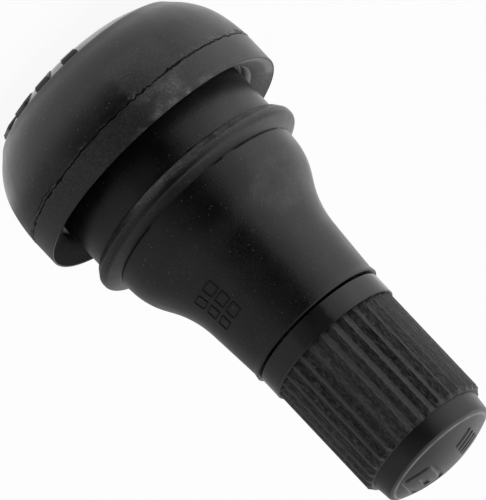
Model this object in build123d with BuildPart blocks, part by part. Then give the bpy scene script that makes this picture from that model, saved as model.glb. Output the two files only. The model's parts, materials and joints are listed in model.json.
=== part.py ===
from build123d import *
import os
from math import cos, radians, sin

os.makedirs("parts", exist_ok=True)

# Snap-in tyre valve, in millimetres. It stands on its head with the dust cap up.
# The origin is the centre of the flat on the head, and +Z is the valve's axis.

# Neck and head: the neck fills the hole in the wheel rim, and radii grow outwards from it
neck_radius = 7.60
head_overhang = 2.05
crown_radius = 6.00
crown_angle = 30
shoulder_radius = 5.40
shoulder_angle = 46
side_radius = 10.50
side_angle = 13
flash_proud = 0.06
flash_width = 0.20
skirt_height = 2.02
rim_round = 0.05
lip_overhang = 0.32
lip_depth = 0.78
lip_round = 0.10
recess_depth = 0.60
base_hole_radius = 1.90

# Groove, retaining ring and the tapering rubber sleeve
groove_width = 2.53
ring_overhang = 0.69
ring_step = 0.33
ring_height = 1.55
ring_land = 0.50
ring_round = 0.35
waist_inset = 0.30
land_height = 0.77
land_inset = 0.05
lean_start = 3
lean_steepest = 30
outer_bend_radius = 5.00
inner_bend_radius = 7.00
sleeve_length = 4.24
sleeve_wall = 1.26
sleeve_taper = 0.25
sleeve_lip_height = 0.50
sleeve_lip_proud = 0.07

# Brass stem
thread_radius = 3.85
thread_length = 9.77
thread_cover = 1.20
nose_chamfer = 0.55
shank_radius = 3.35
foot_depth = 1.00
foot_height = 1.00
foot_overhang = 1.25
anchor_count = 3
anchor_depth = 0.30
anchor_width = 0.80
anchor_pitch = 1.80
anchor_start = 1.60
passage_radius = 1.50
tip_countersink = 0.25

# Valve core, measured down from the tip of the stem
pin_drop = 0.25
pin_radius = 0.50
pin_head_radius = 0.85
pin_head_height = 0.60
pin_head_round = 0.20
pin_travel = 1.40
head_room = 0.15
bridge_height = 1.20
bridge_width = 2.20
bridge_inset = 0.40
pin_hole_clearance = 0.08
plug_radius = 2.58
plug_length = 3.60
plug_bore_radius = 1.78
plug_lip_height = 0.40
thread_fit = 0.05
chamber_thread_run = 0.60
collar_radius = 1.12
collar_height = 0.45
collar_drop = 0.30
spring_radius = 0.90
spring_wire_radius = 0.15
spring_turns = 7
spring_length = 9.00
swivel_clearance = 0.06
swivel_flange_height = 0.60
barrel_neck_radius = 1.38
barrel_shoulder_radius = 1.90
barrel_shoulder_height = 0.90
barrel_radius = 1.72
barrel_bore_radius = 1.18
barrel_floor = 1.10
barrel_nose_chamfer = 0.35
guide_radius = 0.78
gasket_groove_radius = 1.50
gasket_height = 1.90
gasket_top_radius = 2.24
gasket_bottom_radius = 1.94
gasket_fit = 0.03
chamber_radius = 2.00
seat_clearance = 0.02
seat_gasket_height = 0.90
seat_gasket_proud = 0.30
cup_radius = 1.55
cup_wall = 0.20
cup_floor = 0.30
rivet_radius = 0.78
rivet_height = 0.25
chamber_spare = 1.50

# Dust cap
cap_clearance = 0.08
mouth_gap = 0.12
mouth_relief = 0.22
mouth_depth = 1.30
cap_wall = 0.69
rib_count = 32
rib_depth = 0.25
rib_crest = 0.08
rib_valley = 0.06
band_proud = 0.13
band_height = 1.63
band_round = 0.12
rib_bevel = 0.28
cap_top_thickness = 1.91
dome_height = 1.00
end_height = 1.30
end_inset = 0.20
end_taper = 0.13
end_round = 0.30
seal_height = 1.00
seal_hole_radius = 1.50
seal_clearance = 0.05


def sine_part(radius, start, end):
    """How far an arc runs along its starting axis while it turns from start to end degrees."""
    return radius * (sin(radians(end)) - sin(radians(start)))


def cosine_part(radius, start, end):
    """How far the same arc runs across its starting axis."""
    return radius * (cos(radians(start)) - cos(radians(end)))


def round_corner(sketch, corner, radius):
    """Round the corner of the sketch that is nearest to the point given."""
    fillet(sketch.vertices().sort_by_distance(corner)[0], radius)


# Heights and radii of the rubber body
shoulder_start = crown_angle
side_start = shoulder_start + shoulder_angle
side_end = side_start + side_angle
head_radius = neck_radius + head_overhang
base_flat_radius = (
    head_radius
    - sine_part(crown_radius, 0, shoulder_start)
    - sine_part(shoulder_radius, shoulder_start, side_start)
    - sine_part(side_radius, side_start, side_end)
)
parting_height = (
    cosine_part(crown_radius, 0, shoulder_start)
    + cosine_part(shoulder_radius, shoulder_start, side_start)
    + cosine_part(side_radius, side_start, side_end)
)
rim_edge_height = parting_height + skirt_height
lip_radius = neck_radius + lip_overhang
lip_height = rim_edge_height - lip_depth
recess_floor = lip_height - recess_depth
ring_base = rim_edge_height + groove_width
ring_top = ring_base + ring_height
ring_radius = neck_radius + ring_overhang
ring_land_base = ring_base + (ring_height - ring_land) / 2
ring_land_top = ring_land_base + ring_land
waist_radius = neck_radius - waist_inset
bend_height = ring_top + land_height
bend_radius = waist_radius - land_inset
sleeve_top_radius = thread_radius + sleeve_wall
sleeve_foot_radius = sleeve_top_radius + sleeve_taper
slope_inset = (
    bend_radius
    - cosine_part(outer_bend_radius, lean_start, lean_steepest)
    - cosine_part(inner_bend_radius, lean_start, lean_steepest)
    - sleeve_foot_radius
)
slope_rise = slope_inset * cos(radians(lean_steepest)) / sin(radians(lean_steepest))
sleeve_foot = (
    bend_height
    + sine_part(outer_bend_radius, lean_start, lean_steepest)
    + slope_rise
    + sine_part(inner_bend_radius, lean_start, lean_steepest)
)
sleeve_top = sleeve_foot + sleeve_length

# Outline of the stem from its foot to its tip, shared with the rubber moulded on it
stem_tip = sleeve_top + thread_length
thread_start = sleeve_top - thread_cover
nose_radius = thread_radius - nose_chamfer
foot_top = foot_depth + foot_height
stem_outline = [
    (0, foot_depth),
    (shank_radius + foot_overhang, foot_depth),
    (shank_radius + foot_overhang, foot_top),
    (shank_radius, foot_top),
]
for anchor in range(anchor_count):
    anchor_foot = foot_top + anchor_start + anchor * anchor_pitch
    stem_outline += [
        (shank_radius, anchor_foot),
        (shank_radius - anchor_depth, anchor_foot),
        (shank_radius - anchor_depth, anchor_foot + anchor_width),
        (shank_radius, anchor_foot + anchor_width),
    ]
stem_outline += [
    (shank_radius, thread_start),
    (thread_radius, thread_start),
    (thread_radius, stem_tip - nose_chamfer),
    (nose_radius, stem_tip),
    (0, stem_tip),
]

# Heights in the valve core
pin_top = stem_tip - pin_drop
pin_head_bottom = pin_top - pin_head_height
bridge_top = pin_head_bottom - pin_travel - head_room
plug_top = bridge_top - bridge_height
plug_bottom = plug_top - plug_length
collar_top = plug_top - collar_drop
collar_bottom = collar_top - collar_height
spring_floor = collar_bottom - spring_length
barrel_bottom = spring_floor - barrel_floor
swivel_neck_top = plug_bottom + plug_lip_height + swivel_clearance
shoulder_top = plug_bottom - swivel_clearance
gasket_top = shoulder_top - barrel_shoulder_height
gasket_bottom = gasket_top - gasket_height
seat_gasket_top = barrel_bottom - seat_clearance
seat_gasket_bottom = seat_gasket_top - seat_gasket_height
cup_rim = seat_gasket_top - seat_gasket_proud
cup_bottom = seat_gasket_bottom - cup_floor
rivet_bottom = cup_bottom - rivet_height
chamber_bottom = rivet_bottom - pin_travel - chamber_spare

# Heights and radii of the dust cap and its seal
cap_mouth = sleeve_top + mouth_gap
cap_bore_radius = thread_radius + cap_clearance
pocket_radius = nose_radius + cap_clearance
seal_bottom = stem_tip + seat_clearance
seal_top = seal_bottom + seal_height
cap_ceiling = seal_top + seat_clearance
cap_top = cap_ceiling + cap_top_thickness
rib_root_radius = cap_bore_radius + cap_wall
rib_radius = rib_root_radius + rib_depth
band_radius = rib_radius + band_proud
band_top = cap_mouth + band_height
dome_edge = cap_top - dome_height
end_base = dome_edge - end_height
rib_end = end_base - rib_bevel
end_radius = rib_root_radius - end_inset
dome_edge_radius = end_radius - end_taper

# Section of one grip rib: a low V with a narrow crest, whose foot reaches its neighbours'
rib_foot_angle = radians(180 / rib_count) - rib_valley / (2 * rib_root_radius)
rib_foot_reach = rib_root_radius * cos(rib_foot_angle)
rib_foot_half = rib_root_radius * sin(rib_foot_angle)
rib_outline = [
    (rib_foot_reach - rib_depth, -rib_foot_half),
    (rib_foot_reach, -rib_foot_half),
    (rib_radius, -rib_crest / 2),
    (rib_radius, rib_crest / 2),
    (rib_foot_reach, rib_foot_half),
    (rib_foot_reach - rib_depth, rib_foot_half),
]

# Rubber body: domed head, rim groove, ring and sleeve, moulded on the stem
with BuildPart() as rubber_body:
    with BuildSketch(Plane.XZ) as body_section:
        with BuildLine():
            flat = Line((0, 0), (base_flat_radius, 0))
            crown = JernArc(flat @ 1, (1, 0), crown_radius, crown_angle)
            shoulder = JernArc(crown @ 1, crown % 1, shoulder_radius, shoulder_angle)
            side = JernArc(shoulder @ 1, shoulder % 1, side_radius, side_angle)
            groove = Polyline(
                side @ 1,
                (head_radius + flash_proud, parting_height),
                (head_radius, parting_height + flash_width),
                (head_radius, rim_edge_height),
                (lip_radius, lip_height),
                (lip_radius, recess_floor),
                (neck_radius, recess_floor),
                (neck_radius, ring_base),
                (neck_radius + ring_step, ring_base),
                (ring_radius, ring_land_base),
                (ring_radius, ring_land_top),
                (waist_radius, ring_top),
                (bend_radius, bend_height),
            )
            lean = (-sin(radians(lean_start)), cos(radians(lean_start)))
            outer_bend = JernArc(groove @ 1, lean, outer_bend_radius, lean_steepest - lean_start)
            slope = Line(outer_bend @ 1, outer_bend @ 1 + Vector(-slope_inset, slope_rise))
            inner_bend = JernArc(
                slope @ 1,
                outer_bend % 1,
                inner_bend_radius,
                lean_start - lean_steepest,
            )
            Polyline(
                inner_bend @ 1,
                (sleeve_top_radius, sleeve_top - sleeve_lip_height),
                (sleeve_top_radius + sleeve_lip_proud, sleeve_top),
                (0, sleeve_top),
                (0, 0),
            )
        make_face()
        round_corner(body_section, (head_radius, rim_edge_height), rim_round)
        round_corner(body_section, (lip_radius, lip_height), lip_round)
        round_corner(body_section, (ring_radius, ring_land_base), ring_round)
        round_corner(body_section, (ring_radius, ring_land_top), ring_round)
    revolve(axis=Axis.Z)
    with BuildSketch(Plane.XZ):
        with BuildLine():
            Polyline(*stem_outline, close=True)
        make_face()
    revolve(axis=Axis.Z, mode=Mode.SUBTRACT)
    with BuildSketch():
        Circle(base_hole_radius)
    extrude(amount=foot_depth, mode=Mode.SUBTRACT)
rubber_body.part.label = "rubber_body"
export_step(rubber_body.part, "parts/rubber_body.step")

# Brass stem: turned outside, with the stepped chamber for the core and the air passage
with BuildPart() as brass_stem:
    with BuildSketch(Plane.XZ):
        with BuildLine():
            Polyline(*stem_outline, close=True)
        make_face()
    revolve(axis=Axis.Z)
    chamber_thread_radius = plug_radius + thread_fit
    chamber_thread_end = plug_bottom - chamber_thread_run
    with BuildSketch(Plane.XZ):
        with BuildLine():
            Polyline(
                (0, foot_depth),
                (passage_radius, foot_depth),
                (passage_radius, chamber_bottom),
                (chamber_radius, chamber_bottom),
                (chamber_radius, gasket_bottom),
                (gasket_bottom_radius + gasket_fit, gasket_bottom),
                (gasket_top_radius + gasket_fit, gasket_top),
                (gasket_top_radius + gasket_fit, chamber_thread_end),
                (chamber_thread_radius, chamber_thread_end),
                (chamber_thread_radius, stem_tip - tip_countersink),
                (chamber_thread_radius + tip_countersink, stem_tip),
                (0, stem_tip),
                close=True,
            )
        make_face()
    revolve(axis=Axis.Z, mode=Mode.SUBTRACT)
brass_stem.part.label = "brass_stem"
export_step(brass_stem.part, "parts/brass_stem.step")

# Core plug: threaded ring with a slotted bridge over its top, which guides the pin
with BuildPart() as core_plug:
    lip_bore_radius = barrel_neck_radius + swivel_clearance
    with BuildSketch(Plane.XZ):
        with BuildLine():
            Polyline(
                (lip_bore_radius, plug_bottom),
                (plug_radius, plug_bottom),
                (plug_radius, plug_top),
                (plug_bore_radius, plug_top),
                (plug_bore_radius, plug_bottom + plug_lip_height),
                (lip_bore_radius, plug_bottom + plug_lip_height),
                close=True,
            )
        make_face()
    revolve(axis=Axis.Z)
    with BuildSketch(Plane.XY.offset(plug_top)):
        Circle(plug_radius - bridge_inset)
        Rectangle(2 * plug_radius, bridge_width, mode=Mode.INTERSECT)
        Circle(pin_radius + pin_hole_clearance, mode=Mode.SUBTRACT)
    extrude(amount=bridge_height)
core_plug.part.label = "core_plug"
export_step(core_plug.part, "parts/core_plug.step")

# Core barrel: hangs in the plug by its swivel flange, holds the spring and ends in the seat
with BuildPart() as core_barrel:
    with BuildSketch(Plane.XZ) as barrel_section:
        with BuildLine():
            Polyline(
                (barrel_bore_radius, swivel_neck_top + swivel_flange_height),
                (plug_bore_radius - swivel_clearance, swivel_neck_top + swivel_flange_height),
                (plug_bore_radius - swivel_clearance, swivel_neck_top),
                (barrel_neck_radius, swivel_neck_top),
                (barrel_neck_radius, shoulder_top),
                (barrel_shoulder_radius, shoulder_top),
                (barrel_shoulder_radius, gasket_top),
                (gasket_groove_radius, gasket_top),
                (gasket_groove_radius, gasket_bottom),
                (barrel_radius, gasket_bottom),
                (barrel_radius, barrel_bottom),
                (guide_radius, barrel_bottom),
                (guide_radius, spring_floor),
                (barrel_bore_radius, spring_floor),
                close=True,
            )
        make_face()
        nose = barrel_section.vertices().sort_by_distance((barrel_radius, barrel_bottom))[0]
        chamfer(nose, barrel_nose_chamfer)
    revolve(axis=Axis.Z)
core_barrel.part.label = "core_barrel"
export_step(core_barrel.part, "parts/core_barrel.step")

# Barrel gasket: tapered ring that seals the barrel in the stem
with BuildPart() as barrel_gasket:
    with BuildSketch(Plane.XZ):
        with BuildLine():
            Polyline(
                (gasket_groove_radius, gasket_bottom),
                (gasket_bottom_radius, gasket_bottom),
                (gasket_top_radius, gasket_top),
                (gasket_groove_radius, gasket_top),
                close=True,
            )
        make_face()
    revolve(axis=Axis.Z)
barrel_gasket.part.label = "barrel_gasket"
export_step(barrel_gasket.part, "parts/barrel_gasket.step")

# Core pin: pressed down to open the valve, riveted under the seat cup
with BuildPart() as core_pin:
    with BuildSketch(Plane.XZ) as pin_section:
        with BuildLine():
            Polyline(
                (0, rivet_bottom),
                (rivet_radius, rivet_bottom),
                (rivet_radius, cup_bottom),
                (pin_radius, cup_bottom),
                (pin_radius, pin_head_bottom),
                (pin_head_radius, pin_head_bottom),
                (pin_head_radius, pin_top),
                (0, pin_top),
                close=True,
            )
        make_face()
        round_corner(pin_section, (pin_head_radius, pin_top), pin_head_round)
    revolve(axis=Axis.Z)
core_pin.part.label = "core_pin"
export_step(core_pin.part, "parts/core_pin.step")

# Pin collar: crimped on the pin, the spring pushes up on it
with BuildPart() as pin_collar:
    with BuildSketch(Plane.XY.offset(collar_bottom)):
        Circle(collar_radius)
        Circle(pin_radius, mode=Mode.SUBTRACT)
    extrude(amount=collar_height)
pin_collar.part.label = "pin_collar"
export_step(pin_collar.part, "parts/pin_collar.step")

# Core spring: open coil between the barrel's floor and the collar
with BuildPart() as core_spring:
    coil_rise = spring_length - 2 * spring_wire_radius
    with BuildLine() as coil:
        Helix(
            pitch=coil_rise / spring_turns,
            height=coil_rise,
            radius=spring_radius,
            center=(0, 0, spring_floor + spring_wire_radius),
        )
    with BuildSketch(Plane(origin=coil.line @ 0, z_dir=coil.line % 0)):
        Circle(spring_wire_radius)
    sweep(path=coil.line, is_frenet=True)
core_spring.part.label = "core_spring"
export_step(core_spring.part, "parts/core_spring.step")

# Seat cup: pressed brass cup on the lower end of the pin
with BuildPart() as seat_cup:
    with BuildSketch(Plane.XZ):
        with BuildLine():
            Polyline(
                (pin_radius, cup_bottom),
                (cup_radius, cup_bottom),
                (cup_radius, cup_rim),
                (cup_radius - cup_wall, cup_rim),
                (cup_radius - cup_wall, seat_gasket_bottom),
                (pin_radius, seat_gasket_bottom),
                close=True,
            )
        make_face()
    revolve(axis=Axis.Z)
seat_cup.part.label = "seat_cup"
export_step(seat_cup.part, "parts/seat_cup.step")

# Seat gasket: rubber ring in the cup, which closes on the end of the barrel
with BuildPart() as seat_gasket:
    with BuildSketch(Plane.XY.offset(seat_gasket_bottom)):
        Circle(cup_radius - cup_wall)
        Circle(pin_radius, mode=Mode.SUBTRACT)
    extrude(amount=seat_gasket_height)
seat_gasket.part.label = "seat_gasket"
export_step(seat_gasket.part, "parts/seat_gasket.step")

# Dust cap: smooth band at the mouth, straight V-shaped grip ribs, stepped end with a low dome
with BuildPart() as dust_cap:
    with BuildSketch(Plane.XZ) as cap_section:
        with BuildLine():
            walls = Polyline(
                (0, cap_ceiling),
                (pocket_radius, cap_ceiling),
                (pocket_radius, stem_tip),
                (cap_bore_radius, stem_tip - nose_chamfer),
                (cap_bore_radius, cap_mouth + mouth_depth),
                (cap_bore_radius + mouth_relief, cap_mouth + mouth_depth),
                (cap_bore_radius + mouth_relief, cap_mouth),
                (band_radius, cap_mouth),
                (band_radius, band_top),
                (rib_root_radius, band_top),
                (rib_root_radius, end_base),
                (end_radius, end_base),
                (dome_edge_radius, dome_edge),
            )
            sphere_radius = (dome_edge_radius**2 + dome_height**2) / (2 * dome_height)
            RadiusArc((0, cap_top), walls @ 1, sphere_radius)
            Line((0, cap_top), (0, cap_ceiling))
        make_face()
        round_corner(cap_section, (band_radius, cap_mouth), band_round)
        round_corner(cap_section, (dome_edge_radius, dome_edge), end_round)
    revolve(axis=Axis.Z)
    with BuildSketch(Plane.XY.offset(band_top)):
        with PolarLocations(0, rib_count):
            Polygon(*rib_outline, align=None)
    extrude(amount=end_base - band_top)
    with BuildSketch(Plane.XZ):
        with BuildLine():
            Polyline(
                (end_radius, end_base),
                (band_radius, end_base),
                (band_radius, rib_end),
                (rib_radius, rib_end),
                close=True,
            )
        make_face()
    revolve(axis=Axis.Z, mode=Mode.SUBTRACT)
dust_cap.part.label = "dust_cap"
export_step(dust_cap.part, "parts/dust_cap.step")

# Cap seal: rubber washer under the cap's roof, which closes on the tip of the stem
with BuildPart() as cap_seal:
    with BuildSketch(Plane.XY.offset(seal_bottom)):
        Circle(pocket_radius - seal_clearance)
        Circle(seal_hole_radius, mode=Mode.SUBTRACT)
    extrude(amount=seal_height)
cap_seal.part.label = "cap_seal"
export_step(cap_seal.part, "parts/cap_seal.step")
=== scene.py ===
import json
from math import atan2, ceil, cos, degrees, dist, pi, radians, sin, tan, tau

import bmesh
import bpy
from mathutils import Matrix, Vector, noise

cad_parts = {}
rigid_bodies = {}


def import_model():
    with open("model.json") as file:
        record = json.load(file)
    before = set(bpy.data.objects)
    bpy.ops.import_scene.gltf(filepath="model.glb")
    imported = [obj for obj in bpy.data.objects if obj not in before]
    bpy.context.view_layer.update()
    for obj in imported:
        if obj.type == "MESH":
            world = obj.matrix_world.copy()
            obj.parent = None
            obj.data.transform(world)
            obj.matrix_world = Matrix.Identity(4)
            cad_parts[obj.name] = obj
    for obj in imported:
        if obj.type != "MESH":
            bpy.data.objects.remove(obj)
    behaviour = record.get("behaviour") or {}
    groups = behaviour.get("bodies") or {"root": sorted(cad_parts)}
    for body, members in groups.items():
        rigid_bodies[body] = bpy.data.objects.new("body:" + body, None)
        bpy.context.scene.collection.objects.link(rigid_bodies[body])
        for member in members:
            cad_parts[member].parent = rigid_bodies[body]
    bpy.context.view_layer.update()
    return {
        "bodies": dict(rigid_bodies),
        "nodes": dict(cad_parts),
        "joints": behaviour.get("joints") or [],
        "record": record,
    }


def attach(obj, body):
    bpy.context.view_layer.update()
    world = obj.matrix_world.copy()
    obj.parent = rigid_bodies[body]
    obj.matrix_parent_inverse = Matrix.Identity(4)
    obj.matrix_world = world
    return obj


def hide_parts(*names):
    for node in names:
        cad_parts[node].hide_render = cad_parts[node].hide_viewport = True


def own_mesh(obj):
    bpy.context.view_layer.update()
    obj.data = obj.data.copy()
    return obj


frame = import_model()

# Snap-in tyre valve. Sizes are in millimetres and are scaled to metres where a mesh is made.
MM = 0.001

# Rubber body, from the head up to the sleeve
HEAD_RADIUS = 9.65
HEAD_LIMIT = 9.70
BASE_HOLE_RADIUS = 1.90
BASE_FLAT_RADIUS = 3.80
CROWN_RADIUS = 6.00
CROWN_ANGLE = 26
CROWN_CREASE = (7.35, 1.056)
CREASE_ROUND = 0.35
SHOULDER_START = (7.85, 1.60)
SHOULDER_RADIUS = 5.40
SHOULDER_HEADING = 44
SIDE_HEADING = 76
SIDE_RADIUS = 10.50
SIDE_END_HEADING = 89
PARTING_HEIGHT = 6.531
PARTING_DROP = 0.045
PARTING_LEAN = 0.017
RIM_EDGE_HEIGHT = 8.551
RIM_ROUND = 0.06
LIP_RADIUS = 7.92
LIP_ROUND = 0.80
LIP_HEIGHT = 7.771
RECESS_FLOOR = 7.171
NECK_RADIUS = 7.60
RING_BASE = 11.081
RING_STEP_RADIUS = 7.93
STEP_ROUND = 0.12
RING_TOP = 12.631
RING_RADIUS = 8.29
RING_LAND_BASE = 11.606
RING_LAND_TOP = 12.106
RING_ROUND = 0.35
WAIST_RADIUS = 7.30
BEND_RADIUS = 7.25
BEND_HEIGHT = 13.401
LEAN_START = 93
LEAN_STEEPEST = 27
OUTER_BEND = 5.00
INNER_BEND = 7.00
SLOPE_INSET = 0.299
SLOPE_RISE = 0.517
SLEEVE_TOP = 23.530
SLEEVE_TOP_RADIUS = 5.11
SLEEVE_LIP_HEIGHT = 0.50
SLEEVE_LIP_PROUD = 0.07
INSIDE_RADIUS = 5.05
SKIN_GAP = 0.01

# Brass stem in the rubber
FOOT_BASE = 1.00
FOOT_TOP = 2.00
FOOT_RADIUS = 4.60
SHANK_RADIUS = 3.35
ANCHOR_COUNT = 3
ANCHOR_START = 3.60
ANCHOR_PITCH = 1.80
ANCHOR_WIDTH = 0.80
ANCHOR_DEPTH = 0.30
THREAD_START = 22.33
THREAD_ROOT = 3.40
THREAD_RADIUS = 3.84
THREAD_PITCH = 0.79375
RIDGE_START = THREAD_START + 0.35
RIDGE_FOOT = 0.68
RIDGE_CREST = 0.12
RIDGE_SINK = 0.02
RIDGE_FADE = 0.04
RIDGE_END_SIZE = 0.05
STEM_TIP = 33.300
RIDGE_STOP = STEM_TIP - 0.60
NOSE_CHAMFER = 0.55
NOSE_RADIUS = 3.30
PASSAGE_RADIUS = 1.50
CHAMBER_RADIUS = 2.00
CHAMBER_BOTTOM = 14.48
GASKET_BOTTOM = 23.24
GASKET_TOP = 25.14
GASKET_SEAT_LOW = 1.97
GASKET_SEAT_HIGH = 2.27
CHAMBER_THREAD_END = 25.50
CHAMBER_THREAD_RADIUS = 2.63
COUNTERSINK = 0.25

# Core spring
SPRING_FLOOR = 19.950
SPRING_LENGTH = 9.00
SPRING_RADIUS = 0.90
SPRING_WIRE = 0.15
SPRING_TURNS = 7
SPRING_FADE = 0.0001

# Dust cap
CAP_MOUTH = 23.650
CAP_BORE = 3.93
MOUTH_RELIEF = 4.15
MOUTH_DEPTH = 1.30
CAP_RIDGE_CREST = 3.52
CAP_RIDGE_FOOT = 0.60
CAP_RIDGE_TIP = 0.10
POCKET_RADIUS = 3.38
CAP_CEILING = 34.340
CAP_TOP = 36.250
BAND_RADIUS = 5.00
BAND_TOP = 25.280
BAND_ROUND = 0.12
RIB_ROOT = 4.62
RIB_RADIUS = 4.87
RIB_COUNT = 32
RIB_CREST = 0.012
RIB_FOOT = 0.450
RIB_FOOT_REACH = 4.615
RIB_FIRST = -97.2
RIB_END = 33.670
END_BASE = 33.950
END_RADIUS = 4.42
DOME_EDGE_RADIUS = 4.29
DOME_EDGE = 35.250
DOME_HEIGHT = 1.00
END_ROUND = 0.21
# Radius of the painted highlight ring on the dome
DOME_HIGHLIGHT_RING = 3.93

# Grid of the lathed skins: rows along the outline and columns round it
ROW = 0.30
FINE_ROW = 0.05
COLUMNS = 256
CREASE_COLUMNS = 512
PARTING_COLUMNS = 768
INNER_COLUMNS = 64
STEM_COLUMNS = 192
CAP_ROW = 0.20
RIB_ROWS = 110
DOME_RINGS = 56
DOME_COLUMNS = 512
ARC_STEP = 3.0

# Camera and the frame of the photograph, in degrees, metres and pixels
TILT = 13.8
ROLL = 136.7
TARGET = Vector((0.000147, 0, 0.01643))
DISTANCE = 1.2
FRAME_HEIGHT = 500 * 0.0649 * MM
SENSOR = 36


# Small helpers for outlines, meshes and node trees

def linear(code):
    """Turn an sRGB hex colour into the linear colour that a shader takes."""
    parts = [int(code[i:i + 2], 16) / 255 for i in (1, 3, 5)]
    return tuple(p / 12.92 if p <= 0.04045 else ((p + 0.055) / 1.055) ** 2.4 for p in parts) + (1,)


def add(tree, kind, inputs=None, **settings):
    """Add a node. Each input gets a value, another node or its output, and settings are its own values."""
    node = tree.nodes.new(kind)
    for name, value in settings.items():
        setattr(node, name, value)
    for socket, value in (inputs or {}).items():
        if isinstance(value, bpy.types.Node):
            value = value.outputs[0]
        if isinstance(value, bpy.types.NodeSocket):
            tree.links.new(value, node.inputs[socket])
        else:
            node.inputs[socket].default_value = value
    return node


def calc(tree, operation, *values):
    """Add one sum of one to three values."""
    return add(tree, "ShaderNodeMath", dict(enumerate(values)), operation=operation).outputs[0]


def ranged(tree, value, low, high, first=0.0, last=1.0, smooth=False):
    """Map a value from one range to another and keep it there."""
    kind = "SMOOTHSTEP" if smooth else "LINEAR"
    limits = {"From Min": low, "From Max": high, "To Min": first, "To Max": last}
    node = add(tree, "ShaderNodeMapRange", {"Value": value, **limits}, interpolation_type=kind)
    return node.outputs[0]


def placed(name, data):
    """Put a mesh, lamp or camera into the scene."""
    thing = bpy.data.objects.new(name, data)
    bpy.context.scene.collection.objects.link(thing)
    return thing


def marked(mesh, marks):
    """Store on a mesh how rubbed or stained each of its points is, and the painted light and shade on it.
    """
    mesh.attributes.new("mark", "FLOAT", "POINT").data.foreach_set("value", marks)
    return mesh


def stacked(name, sections, marks):
    """Closed mesh through like sections, one after the other, all with the marks of one section."""
    count = len(marks)
    points = [(x * MM, y * MM, z * MM) for section in sections for x, y, z in section]
    last = len(points) - count
    faces = [list(range(count)), list(range(last, last + count))]
    for base in range(0, last, count):
        for corner in range(count):
            ahead = (corner + 1) % count
            faces.append([base + corner, base + ahead, base + count + ahead, base + count + corner])
    mesh = bpy.data.meshes.new(name)
    mesh.from_pydata(points, [], faces)
    return marked(mesh, marks * len(sections))


def face_outward(mesh, bevel=0):
    """Weld a closed mesh, turn its faces outward and bevel its edges by some millimetres."""
    work = bmesh.new()
    work.from_mesh(mesh)
    bmesh.ops.remove_doubles(work, verts=work.verts, dist=1e-7)
    bmesh.ops.recalc_face_normals(work, faces=work.faces)
    if bevel:
        bmesh.ops.bevel(work, geom=work.edges, offset=bevel * MM, segments=3, affect="EDGES")
    work.to_mesh(mesh)
    work.free()


def smooth_step(low, high, value):
    """Rise smoothly from 0 at low to 1 at high."""
    share = min(max((value - low) / (high - low), 0), 1)
    return share * share * (3 - 2 * share)


def hump(value, centre, half_width):
    """A rounded bump of height 1 about a centre."""
    return 1 - smooth_step(0, half_width, abs(value - centre))


def grain(x, y, z, size, shift=0.0):
    """Smooth noise from about -1 to 1, whose lumps are as large as size."""
    return noise.noise(Vector((x / size + shift, y / size - shift, z / size + 2 * shift)))


def from_front(x, y):
    """How many degrees a place is round from the photographed side, right of it if positive."""
    return degrees(atan2(-x, -y))


def between(value, low, high, soft):
    """Rise to 1 between two limits, with soft edges outside them."""
    return smooth_step(low - soft, low, value) * (1 - smooth_step(high, high + soft, value))


def arc(start, heading, radius, turn):
    """Points of an arc that leaves start at a heading and turns by some degrees, left if positive."""
    side = 1 if turn > 0 else -1
    steps = max(2, ceil(abs(turn) / ARC_STEP))
    points = []
    for step in range(1, steps + 1):
        new = radians(heading + turn * step / steps)
        old = radians(heading)
        across = side * radius * (sin(new) - sin(old))
        along = side * radius * (cos(old) - cos(new))
        points.append((start[0] + across, start[1] + along))
    return points


def rounded(before, corner, after, radius, steps=4):
    """Points that take a corner of an outline off, from one side of it to the other."""
    corner = Vector(corner)
    back = (Vector(before) - corner).normalized()
    ahead = (Vector(after) - corner).normalized()
    reach = radius / tan(back.angle(ahead) / 2)
    points = []
    for step in range(steps + 1):
        share = step / steps
        bow = corner + back * reach * (1 - share) ** 2 + ahead * reach * share ** 2
        points.append(tuple(bow))
    return points


def divide(start, end, step_at):
    """Halve a stretch of an outline until its steps are as short as step_at asks for there."""
    middle = ((start[0] + end[0]) / 2, (start[1] + end[1]) / 2)
    if dist(start, end) <= step_at(*middle):
        return [end]
    return divide(start, middle, step_at) + divide(middle, end, step_at)


def divided(outline, step_at):
    """The outline with its long stretches divided."""
    points = [outline[0]]
    for start, end in zip(outline, outline[1:]):
        points += divide(start, end, step_at)
    return points


def share_of(ring, cell, cells):
    """The points of a ring that bound one cell of the wall beside it."""
    if len(ring) == 1:
        return [ring[0]]
    ratio = len(ring) // cells
    return [ring[(cell * ratio + step) % len(ring)] for step in range(ratio + 1)]


def lathe(name, outline, columns_at, place, closed=False):
    """Turn an outline of (radius, height) points round the axis into a skin.

    columns_at(radius, height) gives the points round a ring, and
    place(radius, height, angle) gives a point's own radius, height and mark.
    """
    points = []
    marks = []
    rings = []
    for radius, height in outline:
        columns = 1 if radius == 0 else columns_at(radius, height)
        rings.append(range(len(points), len(points) + columns))
        for column in range(columns):
            angle = tau * column / columns
            new_radius, new_height, mark = place(radius, height, angle)
            points.append((
                new_radius * cos(angle) * MM,
                new_radius * sin(angle) * MM,
                new_height * MM,
            ))
            marks.append(mark)
    if closed:
        rings.append(rings[0])
    faces = []
    for first, second in zip(rings, rings[1:]):
        counts = [len(ring) for ring in (first, second) if len(ring) > 1]
        cells = min(counts)
        for cell in range(cells):
            faces.append(share_of(first, cell, cells) + share_of(second, cell, cells)[::-1])
    mesh = bpy.data.meshes.new(name)
    mesh.from_pydata(points, [], faces)
    return marked(mesh, marks)


def plain(radius, height, angle):
    """A lathed point that stays where its outline puts it."""
    return radius, height, 0.0


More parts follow.
